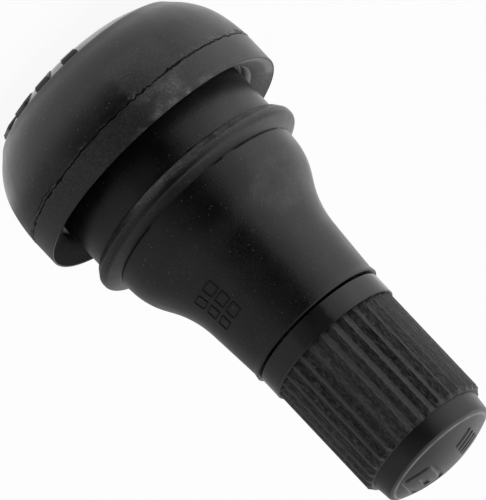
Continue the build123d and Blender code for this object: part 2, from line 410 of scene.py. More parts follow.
def finished(name, mesh, body, slot, material, *nodes, sharp=35):
    """Make a mesh a smooth, closed piece that rides on a body and stands for the nodes named."""
    face_outward(mesh)
    mesh.shade_smooth()
    mesh.set_sharp_from_angle(angle=radians(sharp))
    mesh.materials.clear()
    mesh.materials.append(material)
    piece = placed(name, mesh)
    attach(piece, body)
    if nodes:
        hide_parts(*nodes)
    return piece


# Geometry trees for what repeats or follows a path

def new_tree(name, sizes):
    """Start a geometry tree with named sizes, and return it with its input and output nodes."""
    tree = bpy.data.node_groups.new(name, "GeometryNodeTree")
    tree.interface.new_socket("Shape", in_out="OUTPUT", socket_type="NodeSocketGeometry")
    tree.interface.new_socket("Shape", in_out="INPUT", socket_type="NodeSocketGeometry")
    for size in sizes:
        kind = "NodeSocketInt" if size == "Count" else "NodeSocketFloat"
        tree.interface.new_socket(size, in_out="INPUT", socket_type=kind)
    tree.interface.new_socket("Material", in_out="INPUT", socket_type="NodeSocketMaterial")
    return tree, tree.nodes.new("NodeGroupInput"), tree.nodes.new("NodeGroupOutput")


def close_tree(tree, given, output, shape):
    """End a tree as plain geometry with its material set."""
    real = add(tree, "GeometryNodeRealizeInstances", {"Geometry": shape})
    named = add(tree, "GeometryNodeSetMaterial", {
        "Geometry": real,
        "Material": given.outputs["Material"],
    })
    tree.links.new(named.outputs[0], output.inputs[0])


def grown(name, tree, sizes, seed_mesh=None):
    """Run a geometry tree with its sizes set, and return the result as a plain mesh."""
    seed = placed(name + "_seed", seed_mesh or bpy.data.meshes.new(name + "_seed"))
    modifier = seed.modifiers.new("grow", "NODES")
    modifier.node_group = tree
    for item in tree.interface.items_tree:
        if item.in_out == "INPUT" and item.name in sizes:
            modifier[item.identifier] = sizes[item.name]
    seed.update_tag()
    depsgraph = bpy.context.evaluated_depsgraph_get()
    mesh = bpy.data.meshes.new_from_object(seed.evaluated_get(depsgraph))
    mesh.name = name
    seed.modifiers.remove(modifier)
    bpy.data.objects.remove(seed)
    return mesh


def ring_tree():
    """Tree that repeats a shape at even steps round the axis and roughens its marked side."""
    sizes = ("Count", "First Angle", "Step", "Roughness", "Grain Scale")
    tree, given, output = new_tree("repeat_round_axis", sizes)
    points = add(tree, "GeometryNodePoints", {"Count": given.outputs["Count"]})
    index = add(tree, "GeometryNodeInputIndex")
    turn = calc(tree, "MULTIPLY_ADD", index, given.outputs["Step"], given.outputs["First Angle"])
    euler = add(tree, "ShaderNodeCombineXYZ", {"Z": turn})
    rotation = add(tree, "FunctionNodeEulerToRotation", {0: euler})
    copies = add(tree, "GeometryNodeInstanceOnPoints", {
        "Points": points,
        "Instance": given.outputs["Shape"],
        "Rotation": rotation,
    })
    real = add(tree, "GeometryNodeRealizeInstances", {"Geometry": copies})
    grain_scale = given.outputs["Grain Scale"]
    grains = add(tree, "ShaderNodeTexNoise", {"Scale": grain_scale, "Detail": 2.0})
    centred = calc(tree, "SUBTRACT", grains, 0.5)
    amount = calc(tree, "MULTIPLY", centred, given.outputs["Roughness"])
    ragged = add(tree, "GeometryNodeInputNamedAttribute", {"Name": "mark"}, data_type="FLOAT")
    local = calc(tree, "MULTIPLY", amount, ragged)
    normal = add(tree, "GeometryNodeInputNormal")
    push = add(tree, "ShaderNodeVectorMath", {0: normal, "Scale": local}, operation="SCALE")
    rough = add(tree, "GeometryNodeSetPosition", {"Geometry": real, "Offset": push})
    close_tree(tree, given, output, rough)
    return tree


def helix_tree(profile_kind):
    """Tree that winds a spring wire, or a thread ridge that stands outward or inward, round the axis."""
    sizes = (
        "Turns", "Radius", "Height", "Start Height", "Profile Foot", "Profile Crest",
        "Profile Depth", "Fade",
    )
    tree, given, output = new_tree("wind_" + profile_kind, sizes)
    sizes_of = given.outputs
    spiral = add(tree, "GeometryNodeCurveSpiral", {
        "Resolution": 72,
        "Rotations": sizes_of["Turns"],
        "Start Radius": sizes_of["Radius"],
        "End Radius": sizes_of["Radius"],
        "Height": sizes_of["Height"],
    })
    lift = add(tree, "ShaderNodeCombineXYZ", {"Z": sizes_of["Start Height"]})
    raised = add(tree, "GeometryNodeTransform", {
        "Geometry": spiral,
        "Translation": lift,
    })
    upright = add(tree, "GeometryNodeSetCurveNormal", {"Curve": raised}, mode="Z_UP")
    along = add(tree, "GeometryNodeSplineParameter").outputs["Factor"]
    still_ahead = calc(tree, "SUBTRACT", 1.0, along)
    rise = ranged(tree, along, 0.0, sizes_of["Fade"], RIDGE_END_SIZE)
    fall = ranged(tree, still_ahead, 0.0, sizes_of["Fade"], RIDGE_END_SIZE)
    faded = add(tree, "GeometryNodeSetCurveRadius", {
        "Curve": upright,
        "Radius": calc(tree, "MINIMUM", rise, fall),
    })
    if profile_kind == "wire":
        profile = add(tree, "GeometryNodeCurvePrimitiveCircle", {
            "Resolution": 12,
            "Radius": sizes_of["Profile Depth"],
        })
        section = profile
    else:
        side = -1 if profile_kind == "outward_ridge" else 1
        profile = add(tree, "GeometryNodeCurvePrimitiveQuadrilateral", {
            "Height": sizes_of["Profile Depth"],
            "Bottom Width": sizes_of["Profile Foot"],
            "Top Width": sizes_of["Profile Crest"],
            "Offset": 0.0,
        }, mode="TRAPEZOID")
        half = calc(tree, "MULTIPLY", sizes_of["Profile Depth"], 0.5 * side)
        shift = add(tree, "ShaderNodeCombineXYZ", {"X": half})
        section = add(tree, "GeometryNodeTransform", {
            "Geometry": profile,
            "Translation": shift,
            "Rotation": (0, 0, -side * pi / 2),
        })
    solid = add(tree, "GeometryNodeCurveToMesh", {
        "Curve": faded,
        "Profile Curve": section,
        "Fill Caps": True,
    })
    close_tree(tree, given, output, solid)
    return tree


def stroke_tree():
    """Tree that lays a thin raised line along the edges of the mesh it is given."""
    tree, given, output = new_tree("raise_strokes", ("Width",))
    path = add(tree, "GeometryNodeMeshToCurve", {"Mesh": given.outputs["Shape"]})
    profile = add(tree, "GeometryNodeCurvePrimitiveCircle", {
        "Resolution": 8,
        "Radius": given.outputs["Width"],
    })
    solid = add(tree, "GeometryNodeCurveToMesh", {
        "Curve": path,
        "Profile Curve": profile,
        "Fill Caps": True,
    })
    close_tree(tree, given, output, solid)
    return tree


# Materials

def new_material(name):
    """Start a material and return it with its tree, its place in the object and its shader."""
    material = bpy.data.materials.new(name)
    material.use_nodes = True
    tree = material.node_tree
    tree.nodes.clear()
    shader = add(tree, "ShaderNodeBsdfPrincipled")
    add(tree, "ShaderNodeOutputMaterial", {"Surface": shader})
    place = add(tree, "ShaderNodeTexCoord").outputs["Object"]
    return material, tree, place, shader


def lumps(tree, place, size, detail=2.0, low=0.3, high=0.7):
    """Noise whose lumps have a size in millimetres, spread from 0 to 1."""
    looks = {"Vector": place, "Scale": 1 / (size * MM), "Detail": detail}
    return ranged(tree, add(tree, "ShaderNodeTexNoise", looks), low, high)


def mixed(tree, share, first, second):
    """Mix two colours, given as hex codes or sockets."""
    first = linear(first) if isinstance(first, str) else first
    second = linear(second) if isinstance(second, str) else second
    node = add(tree, "ShaderNodeMix", {0: share, 6: first, 7: second}, data_type="RGBA")
    return node.outputs[2]


def part_of(tree, place, axis):
    """One coordinate of a place."""
    return add(tree, "ShaderNodeSeparateXYZ", {"Vector": place}).outputs[axis]


def mark_of(tree):
    """What the mesh says of how rubbed or stained a place is, and of the painted light and shade on it."""
    return add(tree, "ShaderNodeAttribute", attribute_name="mark").outputs["Fac"]


def surfaced(tree, shader, colour, roughness, heights):
    """Give a shader its colour, its roughness and bumps from (height, depth in millimetres) pairs."""
    tree.links.new(colour, shader.inputs["Base Color"])
    tree.links.new(roughness, shader.inputs["Roughness"])
    normal = None
    for height, depth in heights:
        bump = add(tree, "ShaderNodeBump", {"Height": height, "Distance": depth * MM})
        if normal:
            tree.links.new(normal, bump.inputs["Normal"])
        normal = bump.outputs[0]
    tree.links.new(normal, shader.inputs["Normal"])


def moulded_rubber():
    """Black tyre rubber from a compression mould: matt, a little cloudy with bloom, dusted with specks.

    A mark above 0 is grey bloom and painted light, and above 1.2 a near-white painted highlight. Below 0
    it is a stain and painted shade, and below -1 matt as well.
    """
    material, tree, place, shader = new_material("moulded_natural_rubber")
    fine = lumps(tree, place, 0.13, 1.5, 0.42, 0.66)
    cloud = lumps(tree, place, 1.6, 1.0)
    patch = lumps(tree, place, 4.0, 2.0)
    cells = add(tree, "ShaderNodeTexVoronoi", {"Vector": place, "Scale": 1 / (0.29 * MM)})
    near = ranged(tree, cells.outputs["Distance"], 0.06, 0.18, 1.0, 0.0)
    chosen = add(tree, "ShaderNodeSeparateColor", {0: cells.outputs["Color"]})
    speck = calc(tree, "MULTIPLY", near, ranged(tree, chosen, 0.35, 1.0))
    base = mixed(tree, cloud, "#101010", "#171717")
    dusty = mixed(tree, calc(tree, "MULTIPLY", patch, fine), base, "#262626")
    mark = mark_of(tree)
    grainy = ranged(tree, fine, 0.0, 1.0, 0.5, 1.0)
    # Positive marks lighten with real grey bloom and with painted light and highlights on the lip, the rim
    # edge, the ring and the seam.
    bloom_and_highlight = calc(tree, "MULTIPLY", ranged(tree, mark, 0.0, 1.0), grainy)
    # Negative marks darken with real stains and with painted shade in the creases, under the head and on
    # the raised lines.
    stain_and_shade = ranged(tree, mark, 0.0, -1.0)
    light = mixed(tree, bloom_and_highlight, dusty, "#8c8c8c")
    # Near-white painted highlight, mostly along the head's lip.
    painted_highlight = mixed(tree, ranged(tree, mark, 1.2, 2.0), light, "#e8e8e8")
    dark = mixed(tree, stain_and_shade, painted_highlight, "#050505")
    colour = mixed(tree, speck, dark, "#6a6a6a")
    rough = ranged(tree, cloud, 0.0, 1.0, 0.28, 0.36)
    crown = ranged(tree, part_of(tree, place, "Z"), 0.6 * MM, 1.3 * MM, 1.0, 0.0)
    rough = calc(tree, "MULTIPLY_ADD", crown, -0.14, rough)
    matt = ranged(tree, mark, -1.0, -2.0)
    rough = calc(tree, "MULTIPLY_ADD", matt, 0.6, rough)
    rough = calc(tree, "MULTIPLY_ADD", bloom_and_highlight, 0.5, rough)
    surfaced(tree, shader, colour, rough, [(cloud, 0.010), (fine, 0.003), (speck, 0.012)])
    return material


def moulded_nylon():
    """Black glass-filled nylon: glossy band, grainy spark-eroded ribs and a satin end.

    A mark below 0.25 is a rib's crest, lightened on one side of the cap as a painted highlight, and on the
    end any mark is a painted highlight ring.
    """
    material, tree, place, shader = new_material("moulded_nylon")
    fine = lumps(tree, place, 0.12, 3.0)
    cloud = lumps(tree, place, 1.4, 2.0)
    stretched = add(tree, "ShaderNodeMapping", {"Vector": place, "Scale": (1, 1, 0.3)})
    streak = lumps(tree, stretched, 0.14, 2.0)
    base = mixed(tree, cloud, "#1a1a1a", "#222222")
    dusty = mixed(tree, fine, base, "#292929")
    height = part_of(tree, place, "Z")
    ribbed = ranged(tree, height, (BAND_TOP - 0.05) * MM, BAND_TOP * MM)
    end = ranged(tree, height, END_BASE * MM, (END_BASE + 0.05) * MM)
    textured = calc(tree, "SUBTRACT", ribbed, end)
    grains = calc(tree, "MULTIPLY", calc(tree, "MULTIPLY", fine, streak), textured)
    mark = mark_of(tree)
    # Painted highlight: rib crests are lightened only on the +X side of the cap.
    rubbed_and_highlight = ranged(tree, part_of(tree, place, "X"), 0.8 * MM, 2.0 * MM)
    crest = calc(tree, "MULTIPLY", ranged(tree, mark, 0.1, 0.25, 1.0, 0.0), rubbed_and_highlight)
    speckled = mixed(tree, streak, "#121212", "#363636")
    greyed = mixed(tree, textured, dusty, mixed(tree, crest, speckled, "#525252"))
    sparkle = mixed(tree, ranged(tree, grains, 0.25, 0.65), greyed, "#4c4c4c")
    # Painted highlight: the ring marked on the dome's edge is lightened.
    dome_highlight = calc(tree, "MULTIPLY", ranged(tree, mark, 0.0, 1.0), end)
    colour = mixed(tree, dome_highlight, sparkle, "#b4b4b4")
    rough = ranged(tree, ribbed, 0.0, 1.0, 0.13, 0.34)
    rough = calc(tree, "MULTIPLY_ADD", end, -0.06, rough)
    rough = calc(tree, "MULTIPLY_ADD", cloud, 0.06, rough)
    surfaced(tree, shader, colour, rough, [(cloud, 0.010), (fine, 0.001), (grains, 0.035)])
    return material


def turned_metal(name, light, dark, groove, roughness):
    """Metal from an automatic lathe: fine tool marks round the axis, a little duller between them."""
    material, tree, place, shader = new_material(name)
    flattened = add(tree, "ShaderNodeMapping", {"Vector": place, "Scale": (0.05, 0.05, 1)})
    marks = lumps(tree, flattened, groove, 3.0)
    cloud = lumps(tree, place, 1.5, 2.0)
    rough = ranged(tree, marks, 0.0, 1.0, roughness, roughness + 0.12)
    shader.inputs["Metallic"].default_value = 1.0
    surfaced(tree, shader, mixed(tree, cloud, light, dark), rough, [(marks, 0.008)])
    return material


def soft_seal(name, light, dark, roughness):
    """Pressed seal material: even and smooth, with a faint cloud in its colour."""
    material, tree, place, shader = new_material(name)
    cloud = lumps(tree, place, 0.6, 3.0)
    rough = ranged(tree, cloud, 0.0, 1.0, roughness, roughness + 0.1)
    surfaced(tree, shader, mixed(tree, cloud, dark, light), rough, [(cloud, 0.01)])
    return material


# Rubber body

def body_outline():
    """Outline of the rubber from the hole in the head, out and up to the sleeve, and down the stem."""
    flat_end = (BASE_FLAT_RADIUS, 0)
    crown = arc(flat_end, 0, CROWN_RADIUS, CROWN_ANGLE)
    crease = rounded(crown[-1], CROWN_CREASE, SHOULDER_START, CREASE_ROUND)
    shoulder = arc(
        SHOULDER_START, SHOULDER_HEADING, SHOULDER_RADIUS, SIDE_HEADING - SHOULDER_HEADING
    )
    side = arc(shoulder[-1], SIDE_HEADING, SIDE_RADIUS, SIDE_END_HEADING - SIDE_HEADING)
    side[-1] = (HEAD_RADIUS, PARTING_HEIGHT)
    rim_edge = (HEAD_RADIUS, RIM_EDGE_HEIGHT)
    lip = (LIP_RADIUS, LIP_HEIGHT)
    rim = rounded(side[-1], rim_edge, lip, RIM_ROUND)
    lip_round = rounded(rim_edge, lip, (LIP_RADIUS, RECESS_FLOOR), LIP_ROUND, 6)
    land_low = (RING_RADIUS, RING_LAND_BASE)
    land_high = (RING_RADIUS, RING_LAND_TOP)
    ring_foot = (NECK_RADIUS, RING_BASE)
    step = (RING_STEP_RADIUS, RING_BASE)
    waist = (WAIST_RADIUS, RING_TOP)
    ring = rounded(ring_foot, step, land_low, STEP_ROUND, 2)
    ring += rounded(step, land_low, land_high, RING_ROUND, 8)
    ring += rounded(land_low, land_high, waist, RING_ROUND, 8)
    bend = (BEND_RADIUS, BEND_HEIGHT)
    outer = arc(bend, LEAN_START, OUTER_BEND, LEAN_STEEPEST)
    slope = (outer[-1][0] - SLOPE_INSET, outer[-1][1] + SLOPE_RISE)
    inner = arc(slope, LEAN_START + LEAN_STEEPEST, INNER_BEND, -LEAN_STEEPEST)
    sleeve = [
        (SLEEVE_TOP_RADIUS, SLEEVE_TOP - SLEEVE_LIP_HEIGHT),
        (SLEEVE_TOP_RADIUS + SLEEVE_LIP_PROUD, SLEEVE_TOP - 0.08),
        (SLEEVE_TOP_RADIUS, SLEEVE_TOP),
    ]
    return (
        [(BASE_HOLE_RADIUS, 0), flat_end]
        + crown + crease + [SHOULDER_START] + shoulder + side
        + rim + lip_round
        + [(LIP_RADIUS, RECESS_FLOOR), (NECK_RADIUS, RECESS_FLOOR), ring_foot]
        + ring + [waist, bend] + outer + [slope] + inner + sleeve
    )


def stem_outline(shank, thread):
    """Outer outline of the stem from the top of its thread down to its foot."""
    points = [(thread, THREAD_START), (shank, THREAD_START)]
    for anchor in reversed(range(ANCHOR_COUNT)):
        foot = ANCHOR_START + anchor * ANCHOR_PITCH
        points += [
            (shank, foot + ANCHOR_WIDTH),
            (shank - ANCHOR_DEPTH, foot + ANCHOR_WIDTH),
            (shank - ANCHOR_DEPTH, foot),
            (shank, foot),
        ]
    return points + [(shank, FOOT_TOP), (FOOT_RADIUS, FOOT_TOP), (FOOT_RADIUS, FOOT_BASE)]


def in_parting(radius, height):
    """Whether a place is on the seam round the head's side."""
    return radius > 9 and abs(height - PARTING_HEIGHT) < 0.50


def in_crease(radius, height):
    """Whether a place is in one of the creases over and under the ring."""
    near = abs(height - RING_BASE) < 0.16 or abs(height - RING_TOP) < 0.20
    return radius > 7 and near


def in_rim(radius, height):
    """Whether a place is on the outer edge of the head's lip."""
    return radius > 9.2 and RIM_EDGE_HEIGHT - 0.35 < height < RIM_EDGE_HEIGHT + 0.1


def body_step(radius, height):
    """How fine the rows of the rubber skin are at a place."""
    if in_parting(radius, height):
        return FINE_ROW
    if in_rim(radius, height) or in_crease(radius, height):
        return 1.2 * FINE_ROW
    return ROW


def body_columns(radius, height):
    """How many points a ring of the rubber skin has at a place."""
    if radius < INSIDE_RADIUS and height > 0.5:
        return INNER_COLUMNS
    if in_parting(radius, height):
        return PARTING_COLUMNS
    if in_rim(radius, height) or in_crease(radius, height):
        return CREASE_COLUMNS
    return COLUMNS


def parting_line(x, y, height):
    """Fine serrated seam where the mould's halves met, doubled in places, with torn bits under it. Its
    mark paints shade into the creases and a highlight along the torn fin.
    """
    serrated = 0.10 * grain(x, y, 0, 0.26, 3.0) + 0.04 * grain(x, y, 0, 0.13, 4.0)
    wander = PARTING_LEAN * x + 0.05 * grain(x, y, 0, 6.0) + serrated
    above = height - PARTING_HEIGHT + PARTING_DROP - wander
    thick = 0.080 + 0.06 * grain(x, y, 0, 0.5, 5.0)
    lump = smooth_step(0.15, 0.4, grain(x, y, 0, 0.9, 7.0))
    crease = hump(above, 0, thick + 0.06 * lump) * (0.10 + 0.04 * lump)
    doubled = smooth_step(0.05, 0.25, grain(x, y, 0, 2.1, 13.0))
    second = hump(above, -0.21, 0.07) * 0.07 * doubled
    torn = smooth_step(-0.1, 0.3, grain(x, y, height, 0.20, 17.0))
    frayed = smooth_step(-0.15, 0.2, grain(x, y, 0, 2.8, 11.0))
    fin = between(above, -0.26, -0.10, 0.05) * torn * frayed
    # The second value is painted shade in the creases and a painted highlight on the torn fin.
    return 0.03 * fin - crease - second, 0.5 * fin - (crease + second) / 0.09


def ring_creases(x, y, radius, height):
    """Sharp thin crease under the ring, and a softer one over it that fades out in front, both darkened
    with painted shade.
    """
    front = from_front(x, y)
    whole = smooth_step(-0.62, -0.5, grain(x, y, 0, 0.5, 19.0))
    under = RING_BASE - 0.05 + 0.03 * grain(x, y, 0, 0.4, 21.0)
    lower = hump(height, under, 0.10) * 0.13 * whole if radius < NECK_RADIUS + 0.05 else 0.0
    aside = between(abs(front + 5), 27, 200, 8)
    broken = smooth_step(-0.45, -0.2, grain(x, y, 0, 1.4, 23.0))
    upper = hump(height, RING_TOP + 0.01, 0.06) * 0.04 * aside * broken
    # The second value is painted shade along both creases.
    return -(lower + upper), -lower / 0.10 - upper / 0.07


def head_wear_and_light(front, height, ragged, fine):
    """Dust over the head's side, a rubbed patch on it, a painted highlight along the rim's lower edge,
    painted light on the dome right of the front, and oily streaks over the seam.
    """
    dust = (0.06 + 0.07 * between(front, -18, 60, 20)) * between(height, 6.6, 8.6, 0.3)
    patch = 0.55 * between(front, 14, 25, 7) * between(height, 7.1, 8.6, 0.6)
    # Partly rubbed bloom, partly a painted highlight along the rim's lower edge right of the front.
    edge = 0.50 * between(height, 8.3, 8.6, 0.25) * between(front, 6, 40, 12)
    smear = between(height, 4.6, 6.2, 0.6) * between(front, -14, 1, 9)
    streaks = smooth_step(-0.4, 0.3, grain(front * 0.05, height * 2.2, 0, 1.0, 59.0))
    # Painted light: the dome below the seam is lighter just right of the front.
    lift = 0.17 * between(height, 4.2, 6.4, 1.0) * between(front, 9, 30, 6)
    rubbed_and_highlight = patch * max(0.5 + ragged, 0) + edge * max(0.3 + fine, 0)
    return dust + lift + rubbed_and_highlight - 0.5 * smear * streaks


def cone_wear_and_shade(front, height, ragged):
    """A rubbed patch with a ragged border right of the front, painted shade in front of it, and stains
    beside it.
    """
    border = 24 + 9 * (height - 16.2) + 14 * ragged
    patch = between(height, 14.6, 17.2, 0.8) * smooth_step(border - 3, border + 3, front)
    patch *= 0.22 * (1 - smooth_step(62, 90, front))
    mild = 0.05 * between(front, 20, 70, 10) * between(height, 12.8, 17.0, 2.0)
    # Painted shade: darker in front near the ring, and in a streak up the cone.
    shade = 0.45 * between(front, -4, 22, 12) * between(height, 12.8, 14.6, 1.2)
    shade += 0.40 * between(front, 5, 12, 7) * between(height, 14.6, 19.0, 1.0)
    blots = between(height, 15.7, 17.5, 0.5) * between(front, 4, 11, 4) * smooth_step(-0.1, 0.3, ragged)
    return (patch + mild) * max(0.6 + ragged, 0) - shade - 0.6 * blots


def lip_light_and_shade(front, radius):
    """Painted light on the right end of the head's lip, near white as painted highlights along both its
    edges, and painted shade on a matt left end.
    """
    outer_edge = smooth_step(8.3, 9.3, radius) * between(front, 50, 100, 20)
    inner_edge = 1 - smooth_step(LIP_RADIUS + 0.20, LIP_RADIUS + 0.36, radius)
    # Painted highlights along both edges, the inner one near white, over a painted lighter right end.
    bloom_and_highlight = 0.50 + 0.95 * outer_edge + 2.0 * inner_edge
    return bloom_and_highlight * between(front, 50, 125, 15) - 2.0 * between(front, -130, -30, 10)


def wear_light_and_shade(x, y, radius, height):
    """Grey bloom where the rubber was rubbed and painted light, positive, and oily black stains and
    painted shade, negative.
    """
    front = from_front(x, y)
    fine = grain(x, y, height, 0.45, 53.0)
    ragged = 0.6 * grain(x, y, height, 1.1, 47.0) + 0.5 * fine
    if RECESS_FLOOR - 0.05 < height < RIM_EDGE_HEIGHT and LIP_RADIUS - 0.1 < radius < 9.55:
        return lip_light_and_shade(front, radius)
    if height < RIM_EDGE_HEIGHT + 0.05 and radius > 8:
        return head_wear_and_light(front, height, ragged, fine)
    # Painted shade: the neck under the head's lip is coloured near black, fading out towards the ring.
    if height < RING_BASE and radius < 7.7:
        return -0.95 * (1 - smooth_step(8.6, 10.4, height - 0.012 * abs(front - 5)))
    # Partly grey bloom, partly painted light: the ring is lighter towards the front, most just above its
    # lower crease.
    if height < RING_TOP:
        bloom_and_lit_face = 0.08 + 0.34 * between(front, -12, 60, 25)
        bloom_and_lit_face *= 1 + 0.9 * between(height, RING_BASE - 0.05, RING_BASE + 0.25, 0.15)
        return bloom_and_lit_face * between(height, RING_BASE, 11.5, 0.5) * max(0.7 + 0.7 * ragged, 0)
    if height < BEND_HEIGHT + 8:
        return cone_wear_and_shade(front, height, ragged)
    return 0.0


def body_point(radius, height, angle):
    """Where a point of the rubber skin lies, with the marks that its mould left and the painted light and
    shade on it.
    """
    if radius < INSIDE_RADIUS or height < 0.02:
        return radius, height, 0.0
    x = radius * cos(angle)
    y = radius * sin(angle)
    mark = wear_light_and_shade(x, y, radius, height)
    wave = 0.025 * grain(x, y, height, 5.0, 29.0) * smooth_step(0, 2, height)
    # The seam and crease marks add painted shade in the creases and a painted highlight on the seam's torn
    # fin.
    if in_parting(radius, height):
        push, seam = parting_line(x, y, height)
        wave = wave * 0.5 + push
        mark += seam
    elif in_crease(radius, height):
        push, crease = ring_creases(x, y, radius, height)
        wave += push
        mark += crease
    return min(radius + wave, HEAD_LIMIT), height, mark


def rubber_body(material):
    """Domed head, rim groove, ring and sleeve in one moulding, hollow for the stem."""
    outer = divided(body_outline(), body_step)
    top = THREAD_ROOT - SKIN_GAP
    inner = [(top, SLEEVE_TOP)] + stem_outline(SHANK_RADIUS, top)
    inner += [(BASE_HOLE_RADIUS, FOOT_BASE)]
    mesh = lathe("rubber_skin", outer + inner, body_columns, body_point, closed=True)
    return finished("rubber_skin", mesh, "valve", "rubber", material, "rubber_body")


def head_pads(tree, material):
    """Plain raised blocks on the crown of the head, in two groups."""
    pad_in, pad_out = 5.55, 7.15
    half_width = 0.66
    groups_start = (-92, 88)
    pads_in_group = 4
    pad_step = 20.5
    stain_and_shade = -0.6
    corners = [
        (pad_in, 0.60),
        (pad_in, 0.30),
        (pad_in + 0.15, 0.24),
        (pad_out - 0.15, 0.62),
        (pad_out, 0.72),
        (pad_out, 1.15),
    ]
    ends = [[(r, side, z) for r, z in corners] for side in (-half_width, half_width)]
    block = stacked("pad", ends, [stain_and_shade] * len(corners))
    face_outward(block, bevel=0.09)
    work = bmesh.new()
    for first in groups_start:
        group = grown("pads", tree, {
            "Count": pads_in_group,
            "First Angle": radians(first),
            "Step": radians(pad_step),
            "Grain Scale": 1.0,
            "Material": material,
        }, block.copy())
        work.from_mesh(group)
    pads = bpy.data.meshes.new("head_pads")
    work.to_mesh(pads)
    work.free()
    return finished("head_pads", pads, "valve", "rubber", material)


# Brass stem and spring

def stem_body(material):
    """Turned stem with its foot, anchoring grooves, chamber and a plain core under the thread."""
    outer = [
        (CHAMBER_THREAD_RADIUS + COUNTERSINK, STEM_TIP),
        (NOSE_RADIUS - 0.05, STEM_TIP),
        (NOSE_RADIUS, STEM_TIP - 0.05),
        (THREAD_ROOT, STEM_TIP - NOSE_CHAMFER),
    ] + stem_outline(SHANK_RADIUS - SKIN_GAP, THREAD_ROOT)
    inner = [
        (PASSAGE_RADIUS, FOOT_BASE),
        (PASSAGE_RADIUS, CHAMBER_BOTTOM),
        (CHAMBER_RADIUS, CHAMBER_BOTTOM),
        (CHAMBER_RADIUS, GASKET_BOTTOM),
        (GASKET_SEAT_LOW, GASKET_BOTTOM),
        (GASKET_SEAT_HIGH, GASKET_TOP),
        (GASKET_SEAT_HIGH, CHAMBER_THREAD_END),
        (CHAMBER_THREAD_RADIUS, CHAMBER_THREAD_END),
        (CHAMBER_THREAD_RADIUS, STEM_TIP - COUNTERSINK),
    ]
    mesh = lathe("stem_core", outer + inner, lambda *place: STEM_COLUMNS, plain, closed=True)
    return finished("stem_core", mesh, "valve", "stem_brass", material, "brass_stem")


def wound_ridge(name, tree, material, start, end, radius, foot, crest, depth):
    """Mesh of a thread's ridge from one height to another."""
    return grown(name, tree, {
        "Turns": (end - start) / THREAD_PITCH,
        "Radius": radius * MM,
        "Height": (end - start) * MM,
        "Start Height": start * MM,
        "Profile Foot": foot * MM,
        "Profile Crest": crest * MM,
        "Profile Depth": depth * MM,
        "Fade": RIDGE_FADE,
        "Material": material,
    })


def stem_thread(tree, material):
    """Rolled thread on the stem, from under the sleeve to the chamfer at the tip."""
    root = THREAD_ROOT - RIDGE_SINK
    depth = THREAD_RADIUS - THREAD_ROOT + RIDGE_SINK
    mesh = wound_ridge(
        "stem_thread", tree, material, RIDGE_START, RIDGE_STOP, root, RIDGE_FOOT, RIDGE_CREST, depth
    )
    return finished("stem_thread", mesh, "valve", "stem_brass", material)


def core_spring(tree, material):
    """Open coil of spring wire."""
    height = SPRING_LENGTH - 2 * SPRING_WIRE
    mesh = grown("core_spring_coil", tree, {
        "Turns": float(SPRING_TURNS),
        "Radius": SPRING_RADIUS * MM,
        "Height": height * MM,
        "Start Height": (SPRING_FLOOR + SPRING_WIRE) * MM,
        "Profile Depth": SPRING_WIRE * MM,
        "Fade": SPRING_FADE,
        "Material": material,
    })
    coil = finished("core_spring_coil", mesh, "valve", "spring_steel", material, "core_spring")
    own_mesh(coil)
    return coil


# Dust cap

def dome_height_at(radius):
    """Height of the cap's domed end at a radius."""
    sphere = (DOME_EDGE_RADIUS ** 2 + DOME_HEIGHT ** 2) / (2 * DOME_HEIGHT)
    return CAP_TOP - sphere + (sphere ** 2 - radius ** 2) ** 0.5


def cap_outline():
    """Outline of the cap from the top of its dome, down outside to the mouth and up inside."""
    last = DOME_EDGE_RADIUS - 0.17
    radii = [last * ring / DOME_RINGS for ring in range(DOME_RINGS + 1)]
    dome = [(radius, dome_height_at(radius)) for radius in radii]
    edge = rounded(dome[-2], (DOME_EDGE_RADIUS, DOME_EDGE), (END_RADIUS, END_BASE), END_ROUND)
    mouth_corner = (BAND_RADIUS, CAP_MOUTH)
    band = rounded((BAND_RADIUS, BAND_TOP), mouth_corner, (MOUTH_RELIEF, CAP_MOUTH), BAND_ROUND)
    band_edge = rounded((RIB_ROOT, BAND_TOP), (BAND_RADIUS, BAND_TOP), mouth_corner, 0.06, 2)
    return dome + edge + [
        (END_RADIUS, END_BASE),
        (RIB_ROOT - 0.04, END_BASE),
        (RIB_ROOT, END_BASE - 0.04),
        (RIB_ROOT, BAND_TOP),
    ] + band_edge + band + [
        (MOUTH_RELIEF, CAP_MOUTH),
        (MOUTH_RELIEF, CAP_MOUTH + MOUTH_DEPTH),
        (CAP_BORE, CAP_MOUTH + MOUTH_DEPTH),
        (CAP_BORE, STEM_TIP - NOSE_CHAMFER),
        (POCKET_RADIUS, STEM_TIP),
        (POCKET_RADIUS, CAP_CEILING),
        (0, CAP_CEILING),
    ]


def box_distance(x, y, centre, half, corner):
    """How far a point is outside a rounded box, negative inside."""
    dx = abs(x - centre[0]) - half[0] + corner
    dy = abs(y - centre[1]) - half[1] + corner
    outside = (max(dx, 0) ** 2 + max(dy, 0) ** 2) ** 0.5
    return outside + min(max(dx, dy), 0) - corner


def dome_recess(x, y):
    """How deep the plain recessed shapes on the dome are at a point, from 0 to 1."""
    frame = abs(box_distance(x, y, (1.85, -0.45), (1.05, 1.75), 0.45)) - 0.14
    bar = box_distance(x, y, (1.85, -0.45), (0.20, 0.85), 0.15)
    bars = [box_distance(x, y, (-1.85, place), (0.75, 0.17), 0.12) for place in (-1.5, -0.8, -0.1, 0.6)]
    nearest = min([frame, bar] + bars)
    return 1 - smooth_step(-0.08, 0.07, nearest)


